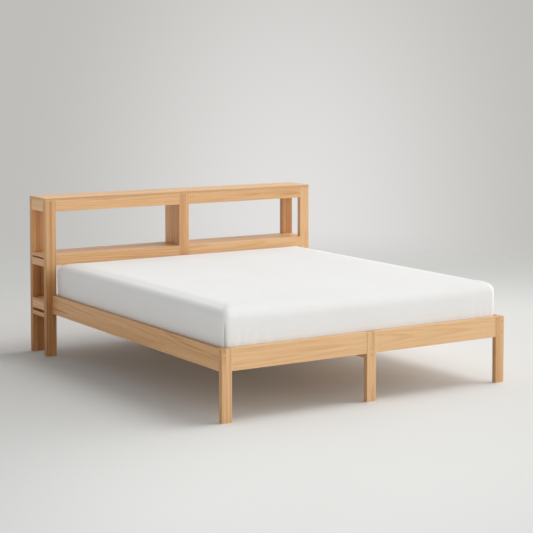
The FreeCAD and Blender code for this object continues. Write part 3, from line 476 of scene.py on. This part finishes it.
def seam_groove_shade(t, pos, corners):
    """Painted shade: 1 on the seam's groove down each upright corner, fading off to one side."""
    x, y, z = t.sep(pos)
    cx, cy, low, high = corners
    dx = t.math("SUBTRACT", t.math("ABSOLUTE", x), cx)
    dy = t.math("SUBTRACT", t.math("ABSOLUTE", t.math("SUBTRACT", y, cy[0])), cy[1])
    off = t.math("SUBTRACT", dx, dy)
    near = t.span(t.math("ABSOLUTE", off), 0.0018, 0.0048, 1.0, 0.0)
    near = t.math("MAXIMUM", near, t.math("MULTIPLY", t.span(off, -0.020, -0.001, 0.0, 0.36), t.span(off, -0.001, 0.004, 1.0, 0.0)))
    out = t.span(t.math("MINIMUM", dx, dy), -0.034, -0.024)
    up = t.span(z, high - 0.075, high + 0.010, 1.0, 0.0)
    return t.math("MULTIPLY", t.math("MULTIPLY", near, out), t.math("MULTIPLY", up, 0.75))


WEBBING = weave("webbing_tape", lin("E2DDD0"), lin("B8B1A0"), 0.0022, 0.2, 0.75, 0.6)
for side in ("left", "right"):
    give("slat_tapes_" + side, WEBBING)

# ------------------------------------------------------------------ mattress and fitted sheet
S_LO, S_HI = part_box("fitted_sheet")
M_LO, M_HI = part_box("mattress")
SY = (S_LO.y + S_HI.y) / 2


def ticks(a, b, step, fine):
    """Lattice stations from a to b: close together near both ends, even between."""
    lead = [0.0]
    for f in fine:
        lead.append(lead[-1] + f)
    inner = (b - a) - 2 * lead[-1]
    n = max(2, round(inner / step))
    mid = [a + lead[-1] + inner * i / n for i in range(n + 1)]
    return np.array([a + q for q in lead[:-1]] + mid + [b - q for q in reversed(lead[:-1])])


def lattice(xs, ys, zs):
    """Closed box lattice over the given stations: points and quads, outward."""
    nx, ny, nz = len(xs) - 1, len(ys) - 1, len(zs) - 1
    ids, pts, quads = {}, [], []

    def vert(i, j, k):
        key = (i, j, k)
        if key not in ids:
            ids[key] = len(pts)
            pts.append((xs[i], ys[j], zs[k]))
        return ids[key]

    for i in range(nx):
        for j in range(ny):
            quads.append((vert(i, j, nz), vert(i + 1, j, nz), vert(i + 1, j + 1, nz), vert(i, j + 1, nz)))
            quads.append((vert(i, j, 0), vert(i, j + 1, 0), vert(i + 1, j + 1, 0), vert(i + 1, j, 0)))
    for k in range(nz):
        for i in range(nx):
            quads.append((vert(i, 0, k), vert(i + 1, 0, k), vert(i + 1, 0, k + 1), vert(i, 0, k + 1)))
            quads.append((vert(i, ny, k), vert(i, ny, k + 1), vert(i + 1, ny, k + 1), vert(i + 1, ny, k)))
        for j in range(ny):
            quads.append((vert(0, j, k), vert(0, j, k + 1), vert(0, j + 1, k + 1), vert(0, j + 1, k)))
            quads.append((vert(nx, j, k), vert(nx, j + 1, k), vert(nx, j + 1, k + 1), vert(nx, j, k + 1)))
    return np.array(pts, float), quads


def round_corner(u, v, ru, rv):
    """Squares to rounds: u and v are distances in from two faces that meet; returns them on the rounded edge."""
    m = (u < ru) & (v < rv)
    a = np.where(m, (ru - np.clip(u, 0, ru)) / ru, 0.0)
    b = np.where(m, (rv - np.clip(v, 0, rv)) / rv, 0.0)
    k = np.maximum(a, b) / np.maximum(np.hypot(a, b), 1e-9)
    return np.where(m, ru - ru * a * k, u), np.where(m, rv - rv * b * k, v)


def profile(y, z, hy, z0, z1, foot, head, low):
    """Long section of the mattress: full at the foot end, squarer at the head."""
    yf, zf = y + hy, z1 - z
    yf, zf = round_corner(yf, zf, *foot)
    y, z = yf - hy, z1 - zf
    yh, zh = round_corner(hy - y, z1 - z, *head)
    y, z = hy - yh, z1 - zh
    for sign in (-1, 1):
        ye, ze = round_corner(hy - sign * y, z - z0, *low)
        y, z = sign * (hy - ye), z0 + ze
    return y, z


def soften(p, hx, hy, z0, z1, foot, head, low, side, upright, crown, foot_end):
    """Rounds the lattice: first the long section, then the two sides over it. foot, head and low are (inward, down)
    radii of the section, side and upright the edge radii of the top and of the corners (foot, head). foot_end is
    foot's value at the two sides."""
    ease = np.clip((hx - np.abs(p[:, 0]) - 0.03) / 0.34, 0, 1)
    ease = ease * ease * (3 - 2 * ease)
    across = [foot_end[i] + (foot[i] - foot_end[i]) * ease for i in (0, 1)]
    y, z = profile(p[:, 1], p[:, 2], hy, z0, z1, across, head, low)
    # outline of the section with its outward normals, for the distance of each point from it
    e = np.linspace(0, 1, 1800, endpoint=False)
    one = np.ones(1800)
    ring = np.concatenate([
        np.column_stack([-hy + 2 * hy * e, z1 * one]), np.column_stack([hy * one, z1 + (z0 - z1) * e]),
        np.column_stack([hy - 2 * hy * e, z0 * one]), np.column_stack([-hy * one, z0 + (z1 - z0) * e])])
    ry, rz = profile(ring[:, 0], ring[:, 1], hy, z0, z1, foot_end, head, low)
    ty, tz = np.roll(ry, -1) - np.roll(ry, 1), np.roll(rz, -1) - np.roll(rz, 1)
    size = np.maximum(np.hypot(ty, tz), 1e-12)
    ny, nz = -tz / size, ty / size
    near = np.flatnonzero(hx - np.abs(p[:, 0]) < max(side, *upright) * 1.3 + 0.001)
    from mathutils.kdtree import KDTree
    tree = KDTree(len(ry))
    for i in range(len(ry)):
        tree.insert((0.0, ry[i], rz[i]), i)
    tree.balance()
    out = np.column_stack([p[:, 0], y, z])
    for i in near:
        _, k, _ = tree.find((0.0, y[i], z[i]))
        n = (ny[k], nz[k])
        q = max((ry[k] - y[i]) * n[0] + (rz[k] - z[i]) * n[1], 0.0)
        up = max(n[1], 0.0) ** 2
        stand = upright[0] if n[0] < 0 else upright[1]
        r = stand + (side - stand) * up
        d = hx - abs(p[i, 0])
        if d < r and q < r:
            d2, q2 = round_corner(np.array([d]), np.array([q]), r, r)
            out[i, 0] = math.copysign(hx - d2[0], p[i, 0])
            out[i, 1] = y[i] - n[0] * (q2[0] - q)
            out[i, 2] = z[i] - n[1] * (q2[0] - q)
    u, v = np.clip(out[:, 0] / hx, -1, 1), np.clip(out[:, 1] / hy, -1, 1)
    w = np.clip((out[:, 2] - z0) / (z1 - z0), 0, 1)
    out[:, 2] += crown * (1 - np.abs(u) ** 5) * (1 - np.abs(v) ** 5) * w ** 3
    return out


def mesh_object(name, pts, faces, smooth=True):
    me = bpy.data.meshes.new(name)
    me.from_pydata([tuple(q) for q in pts], [], faces)
    me.validate()
    me.update()
    o = bpy.data.objects.new(name, me)
    bpy.context.scene.collection.objects.link(o)
    if smooth:
        me.polygons.foreach_set("use_smooth", [True] * len(me.polygons))
    return o


def coords(o):
    co = np.zeros(len(o.data.vertices) * 3, np.float32)
    o.data.vertices.foreach_get("co", co)
    return co.reshape(-1, 3).astype(float)


def set_coords(o, co):
    o.data.vertices.foreach_set("co", co.astype(np.float32).ravel())
    o.data.update()


def apply_modifiers(o):
    dg = bpy.context.evaluated_depsgraph_get()
    me = bpy.data.meshes.new_from_object(o.evaluated_get(dg))
    old = o.data
    o.modifiers.clear()
    o.data = me
    me.name = old.name
    bpy.data.meshes.remove(old)


# The sheet: the mattress's outline, a little looser at the four sewn corners.
HX, HY = S_HI.x - 0.0008, (S_HI.y - S_LO.y) / 2 - 0.0008
Z0, Z1 = S_LO.z + 0.0004, S_HI.z + 0.0070
EDGE = (0.0045, 0.0055, 0.0070, 0.0090, 0.0110)
FOOT, FOOT_END, HEAD, LOW = (0.066, 0.066), (0.050, 0.052), (0.030, 0.020), (0.026, 0.026)
pts, quads = lattice(ticks(-HX, HX, 0.0150, EDGE), ticks(-HY, HY, 0.0150, EDGE), ticks(Z0, Z1, 0.0140, EDGE[:3]))
base = soften(pts, HX, HY, Z0, Z1, FOOT, HEAD, LOW, 0.048, (0.036, 0.010), 0.005, FOOT_END)
# the sewn corners draw in along their seams
pull = np.exp(-((HX - np.abs(base[:, 0])) - (HY - np.abs(base[:, 1]))) ** 2 / 0.0055 ** 2)
pull *= np.clip(1 - np.hypot(HX - np.abs(base[:, 0]), HY - np.abs(base[:, 1])) / 0.040, 0, 1) ** 0.5
pull *= np.clip((Z1 - 0.05 - base[:, 2]) / 0.06, 0, 1) * (base[:, 1] < 0)
base[:, 0] -= np.sign(base[:, 0]) * 0.0016 * pull
base[:, 1] -= np.sign(base[:, 1]) * 0.0016 * pull
belly = np.sin(np.clip((base[:, 2] - 0.384) / (Z1 + 0.01 - 0.384), 0, 1) * math.pi)
base[:, 0] += np.sign(base[:, 0]) * 0.0040 * belly * np.clip((np.abs(base[:, 0]) - HX + 0.12) / 0.12, 0, 1) ** 2


def ripple(p):
    """Gathers that a fitted sheet shows near its corners: upright folds on the sides, fanned and fading upwards."""
    out = p.copy()
    rng = np.random.RandomState(11)
    w = np.clip((p[:, 2] - Z0) / (Z1 - Z0), 0, 1)
    for face in ("foot", "head", "left", "right"):
        for end in (-1, 1):
            if face in ("foot", "head"):
                along, span_, across = p[:, 0] * end, HX, 1
                sign = -1 if face == "foot" else 1
                on = (p[:, 1] * sign > HY - 0.03)
            else:
                along, span_, across = p[:, 1] * end, HY, 0
                sign = -1 if face == "left" else 1
                on = (p[:, 0] * sign > HX - 0.03)
            d = span_ - along
            amp = 0.0
            folds = [(0.050, 0.016, 1.0), (0.092, 0.018, 0.85), (0.142, 0.022, 0.62), (0.205, 0.026, 0.42), (0.285, 0.034, 0.25)]
            for k, (at, wide, a) in enumerate(folds):
                at = at + rng.uniform(-0.010, 0.010)
                top = rng.uniform(0.50, 0.86)
                lean = rng.uniform(-0.10, 0.24)
                line = d - at - lean * (w - 0.2) * 0.25
                amp = amp - a * np.exp(-(line / wide) ** 2) * np.clip((top - w) / top, 0, 1) ** 0.8
                amp = amp + 0.55 * a * np.exp(-((line - wide * 1.3) / wide) ** 2) * np.clip((top - w) / top, 0, 1) ** 0.8
            move = (0.0046 if face == "foot" else 0.0030) * amp * on * np.clip(w / 0.06, 0, 1)
            out[:, across] += sign * move
    return out


def slack_weights(p):
    """1 where the cut has cloth to spare, at the corners; 0 on the taut top."""
    dx, dy = HX - np.abs(p[:, 0]), HY - np.abs(p[:, 1])
    near = np.clip(1 - np.hypot(np.maximum(dx, 0), np.maximum(dy, 0)) / 0.34, 0, 1)
    w = np.clip((p[:, 2] - Z0) / (Z1 - Z0), 0, 1)
    return near ** 1.1 * np.clip(1.25 - w, 0, 1)


shell = mesh_object("fitted_sheet_cover", ripple(base), quads)


def settle(o, rest):
    """Inflates the cover a little with cloth to spare at the corners, then keeps each point near its place."""
    g = o.vertex_groups.new(name="hold")
    hold = np.flatnonzero(rest[:, 2] < Z0 + 0.004)
    g.add([int(i) for i in hold], 1.0, "REPLACE")
    sl = o.vertex_groups.new(name="slack")
    w = slack_weights(rest)
    for level in range(1, 11):
        sel = np.flatnonzero((w > (level - 1) / 10 + 1e-6) & (w <= level / 10 + 1e-6))
        if len(sel):
            sl.add([int(i) for i in sel], (level - 0.5) / 10, "REPLACE")
    m = o.modifiers.new("cloth", "CLOTH")
    c = m.settings
    c.quality = 4
    c.mass = 0.25
    c.tension_stiffness = 18
    c.compression_stiffness = 12
    c.shear_stiffness = 6
    c.bending_stiffness = 0.35
    c.tension_damping = c.compression_damping = c.shear_damping = 12
    c.bending_damping = 1.5
    c.air_damping = 4
    c.use_pressure = True
    c.uniform_pressure_force = 3.0
    c.effector_weights.gravity = 0.0
    c.vertex_group_mass = "hold"
    c.pin_stiffness = 2.0
    c.vertex_group_shrink = "slack"
    c.shrink_min = 0.0
    c.shrink_max = -0.045
    m.collision_settings.use_collision = False
    m.collision_settings.use_self_collision = False
    sc = bpy.context.scene
    m.point_cache.frame_start, m.point_cache.frame_end = 1, 24
    sc.frame_start, sc.frame_end = 1, 24
    for f in range(1, 23):
        sc.frame_set(f)
    dg = bpy.context.evaluated_depsgraph_get()
    e = o.evaluated_get(dg)
    co = np.zeros(len(e.data.vertices) * 3, np.float32)
    e.data.vertices.foreach_get("co", co)
    co = co.reshape(-1, 3).astype(float)
    o.modifiers.clear()
    o.vertex_groups.clear()
    sc.frame_set(1)
    if not np.isfinite(co).all():
        return rest
    return co


start = coords(shell)
moved = settle(shell, start)
step = moved - start
size = np.linalg.norm(step, axis=1)
cap = 0.009
k = np.where(size > 1e-9, cap * np.tanh(size / cap) / np.maximum(size, 1e-9), 1.0)
step = step * k[:, None]
nrm = np.zeros(len(shell.data.vertices) * 3, np.float32)
shell.data.vertices.foreach_get("normal", nrm)
nrm = nrm.reshape(-1, 3).astype(float)
along = (step * nrm).sum(1)
step += nrm * (np.maximum(along, -0.0006) - along)[:, None]
print("cloth moved: mean %.4f max %.4f, outward mean %.4f" % (size.mean(), size.max(), along.mean()))
set_coords(shell, start + step)
co = coords(shell)
# between the rails it keeps clear of them; above them it swells a little
low_part = co[:, 2] < 0.384
limit_x = np.where(low_part, S_HI.x, S_HI.x + 0.0060)
co[:, 0] = np.clip(co[:, 0], -limit_x, limit_x)
limit_y = np.where(low_part, HY + 0.0015, HY + 0.0070)
co[:, 1] = np.clip(co[:, 1], -limit_y, HY + 0.0015)
co[:, 2] = np.clip(co[:, 2], Z0, 0.5760)
co[:, 1] += SY
set_coords(shell, co)

# the cover's mouth underneath
bm = bmesh.new()
bm.from_mesh(shell.data)
bm.faces.ensure_lookup_table()
gone = []
for f in bm.faces:
    c = f.calc_center_median()
    if c.z < Z0 + 0.003 and abs(c.x) < HX - 0.085 and abs(c.y - SY) < HY - 0.085:
        gone.append(f)
bmesh.ops.delete(bm, geom=gone, context="FACES")
bm.to_mesh(shell.data)
bm.free()
shell.data.update()
sub = shell.modifiers.new("smooth", "SUBSURF")
sub.levels = sub.render_levels = 1
thick = shell.modifiers.new("cloth_thickness", "SOLIDIFY")
thick.thickness = 0.0012
thick.offset = -1.0
apply_modifiers(shell)
shell.data.polygons.foreach_set("use_smooth", [True] * len(shell.data.polygons))

# The pad inside: a tufted cover a few millimetres inside the sheet.
PX, PY = M_HI.x - 0.0040, (M_HI.y - M_LO.y) / 2 - 0.0040
PZ0, PZ1 = M_LO.z + 0.0014, M_HI.z + 0.0050
ppts, pquads = lattice(ticks(-PX, PX, 0.0165, EDGE), ticks(-PY, PY, 0.0165, EDGE), ticks(PZ0, PZ1, 0.0150, EDGE[:3]))
pad_co = soften(ppts, PX, PY, PZ0, PZ1, (0.075, 0.078), (0.033, 0.023), (0.029, 0.029), 0.052, (0.040, 0.014), 0.0045, (0.056, 0.060))


def tuft(p, raw):
    """Quilted squares on the two wide faces, sunk along their stitching."""
    out = p.copy()
    cell = 0.150
    for sign, face in ((1, raw[:, 2] > PZ1 - 1e-6), (-1, raw[:, 2] < PZ0 + 1e-6)):
        gx = np.abs(np.sin(math.pi * raw[:, 0] / cell))
        gy = np.abs(np.sin(math.pi * raw[:, 1] / cell))
        puff = (gx * gy) ** 0.5
        edge = np.clip(np.minimum(PX - np.abs(raw[:, 0]), PY - np.abs(raw[:, 1])) / 0.10, 0, 1)
        out[:, 2] -= sign * face * edge * 0.0034 * (1 - puff)
    return out


pad = mesh_object("mattress_pad", tuft(pad_co, ppts) + np.array([0.0, (M_LO.y + M_HI.y) / 2, 0.0]), pquads)
psub = pad.modifiers.new("smooth", "SUBSURF")
psub.levels = psub.render_levels = 1
apply_modifiers(pad)
pad.data.polygons.foreach_set("use_smooth", [True] * len(pad.data.polygons))


def ticking():
    """Damask-like quilted cover: woven ground, a raised leaf-free lattice and lock-stitch along the quilting."""
    m = weave("mattress_ticking", lin("EFECE4"), lin("CFC9BC"), 0.0016, 0.15, 0.80, 0.35)
    t = Tree(m.node_tree)
    nodes, links = m.node_tree.nodes, m.node_tree.links
    s_ = [q for q in nodes if q.type == "BSDF_PRINCIPLED"][0]
    base_link = s_.inputs["Base Color"].links[0].from_socket
    pos = t.node("ShaderNodeTexCoord").outputs["Object"]
    x, y, z = t.sep(pos)
    y0 = t.math("SUBTRACT", y, (M_LO.y + M_HI.y) / 2)
    gx = t.math("ABSOLUTE", t.math("SINE", t.math("MULTIPLY", x, math.pi / 0.150)))
    gy = t.math("ABSOLUTE", t.math("SINE", t.math("MULTIPLY", y0, math.pi / 0.150)))
    line = t.span(t.math("MINIMUM", gx, gy), 0.012, 0.040, 1.0, 0.0)
    dash = t.span(t.math("SINE", t.math("MULTIPLY", t.math("ADD", x, y), 2 * math.pi / 0.006)), -0.3, 0.3)
    stitch = t.math("MULTIPLY", line, t.math("MULTIPLY", dash, 0.5))
    stripe = t.span(t.math("SINE", t.math("MULTIPLY", t.math("ADD", x, y), 2 * math.pi / 0.012)), 0.2, 0.6, 0.0, 0.16)
    col = t.mix(stripe, base_link, lin("C9C4B8"))
    col = t.mix(stitch, col, lin("9D978A"))
    links.new(col, s_.inputs["Base Color"])
    return m


pad.data.materials.append(ticking())

SEAM = (HX, (SY, HY), Z0, Z1 - 0.045)
SHEET_MAT = weave("cotton_sheet", lin("F3F3F2"), lin("E3E2E0"), 0.0011, 0.12, 0.86, 0.22, seam_shade=SEAM)
shell.data.materials.clear()
shell.data.materials.append(SHEET_MAT)

# ------------------------------------------------------------------ stage, light, camera
def floor_material():
    m = bpy.data.materials.new("stage_floor")
    m.use_nodes = True
    m.node_tree.nodes.clear()
    t = Tree(m.node_tree)
    pos = t.node("ShaderNodeTexCoord").outputs["Object"]
    x, y, z = t.sep(pos)
    r = t.vmath("LENGTH", t.comb(x, y, 0.0))
    cloud = t.noise(pos, scale=0.7, detail=3.0)
    col = t.mix(cloud, lin("E7E7E5"), lin("EBEBE9"))
    # painted shade on the floor: darker to the left and back, where the bed casts its shadow, and darker off to the
    # right and far behind, where the light falls off
    shade = t.span(t.vmath("DOT_PRODUCT", pos, (-0.75, 0.65, 0.0)), -0.3, 1.4)
    col = t.mix(shade, col, lin("CFCFCD"))
    shade = t.span(t.vmath("DOT_PRODUCT", pos, (0.845, -0.535, 0.0)), 0.6, 2.2)
    col = t.mix(shade, col, lin("DFDFDD"))
    shade = t.span(t.vmath("DOT_PRODUCT", pos, (0.35, 0.94, 0.0)), 1.2, 4.2)
    col = t.mix(shade, col, lin("C8C8C6"))
    d = t.node("ShaderNodeBsdfDiffuse")
    t.put(d.inputs["Color"], col)
    clear = t.node("ShaderNodeBsdfTransparent")
    mix = t.node("ShaderNodeMixShader")
    t.put(mix.inputs[0], t.span(r, 2.4, 7.6))
    t.put(mix.inputs[1], d.outputs[0])
    t.put(mix.inputs[2], clear.outputs[0])
    o = t.node("ShaderNodeOutputMaterial")
    t.put(o.inputs["Surface"], mix.outputs[0])
    return m


ring = [(9.0 * math.cos(a), 9.0 * math.sin(a), 0.0) for a in np.linspace(0, 2 * math.pi, 96, endpoint=False)]
floor = mesh_object("stage_floor", ring, [tuple(range(96))], smooth=False)
floor.data.materials.append(floor_material())
floor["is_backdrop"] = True

world = bpy.data.worlds.new("studio")
bpy.context.scene.world = world
world.use_nodes = True
world.node_tree.nodes.clear()
t = Tree(world.node_tree)
direction = t.vmath("NORMALIZE", t.node("ShaderNodeTexCoord").outputs["Generated"])
dx, dy, dz = t.sep(direction)
bearing = t.math("MULTIPLY", t.math("ARCTAN2", dx, dy), 180 / math.pi)
height = t.math("MULTIPLY", t.math("ARCSINE", dz), 180 / math.pi)
# the backdrop seen by the camera is painted light: a pale pool behind the bed that darkens outward
across = t.math("DIVIDE", t.math("SUBTRACT", bearing, 33.4), 9.8)
along = t.math("DIVIDE", t.math("ADD", height, 6.6), 16.0)
far = t.vmath("LENGTH", t.comb(across, along, 0.0))
seen = t.mix(t.span(far, 0.0, 1.15), lin("E2E1DF"), lin("BFBEBB"))
bg_seen = t.node("ShaderNodeBackground")
t.put(bg_seen.inputs["Color"], seen)
bg_seen.inputs["Strength"].default_value = 1.0
down = t.math("SUBTRACT", 1.0, t.math("MAXIMUM", dz, 0.0))
sky = t.math("ADD", 0.34, t.math("MULTIPLY", t.math("POWER", down, 1.2), 0.70))
sky = t.math("ADD", sky, t.math("MULTIPLY", t.math("POWER", down, 8.0), 0.46))
soft = t.comb(sky, sky, t.math("MULTIPLY", sky, 0.998))
lean = t.math("ADD", 0.98, t.math("ADD", t.math("MULTIPLY", dx, 0.36), t.math("MULTIPLY", dy, 0.03)))
soft = t.vmath("SCALE", soft, scale=lean)
# a wide low softbox off to the right
box = t.math("MAXIMUM", t.vmath("DOT_PRODUCT", direction, (0.955, -0.03, 0.295)), 0.0)
box = t.math("MULTIPLY", t.math("POWER", box, 6.0), 2.2)
soft = t.vmath("ADD", soft, t.comb(box, box, box))
bg_light = t.node("ShaderNodeBackground")
t.put(bg_light.inputs["Color"], soft)
bg_light.inputs["Strength"].default_value = 1.0
lp = t.node("ShaderNodeLightPath")
mixw = t.node("ShaderNodeMixShader")
t.put(mixw.inputs[0], lp.outputs["Is Camera Ray"])
t.put(mixw.inputs[1], bg_light.outputs[0])
t.put(mixw.inputs[2], bg_seen.outputs[0])
wo = t.node("ShaderNodeOutputWorld")
t.put(wo.inputs["Surface"], mixw.outputs[0])


def area(name, at, to, size, power, colour=(1, 1, 1)):
    d = bpy.data.lights.new(name, "AREA")
    d.shape = "DISK"
    d.size = size
    d.energy = power
    d.color = colour
    o = bpy.data.objects.new(name, d)
    bpy.context.scene.collection.objects.link(o)
    o.location = at
    o.rotation_euler = (Vector(to) - Vector(at)).to_track_quat("-Z", "Y").to_euler()
    o.visible_camera = False
    return o


area("key_light", (8.2, -2.2, 17.2), (0.0, 0.0, 0.3), 11.0, 1215, (1.0, 0.998, 0.992))

cam_data = bpy.data.cameras.new("photo_camera")
cam = bpy.data.objects.new("photo_camera", cam_data)
bpy.context.scene.collection.objects.link(cam)
bpy.context.scene.camera = cam
F_PX, YAW, PITCH, ROW = 1489.0, 32.32, 3.5, 152.4
cam.location = (-4.687, -7.502, 1.819)
cam.rotation_euler = (math.radians(90 - PITCH), 0, math.radians(-YAW))
cam_data.sensor_width = 36.0
cam_data.lens = F_PX / 533 * 36.0
cam_data.shift_y = (ROW - 266.5) / 533
cam_data.clip_start, cam_data.clip_end = 0.1, 100

sc = bpy.context.scene
sc.view_settings.view_transform = "Standard"
sc.view_settings.look = "None"

# ------------------------------------------------------------------ declarations
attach(shell, "mattress_body")
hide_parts("fitted_sheet")

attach(pad, "mattress_body")
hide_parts("mattress")

lo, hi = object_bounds()
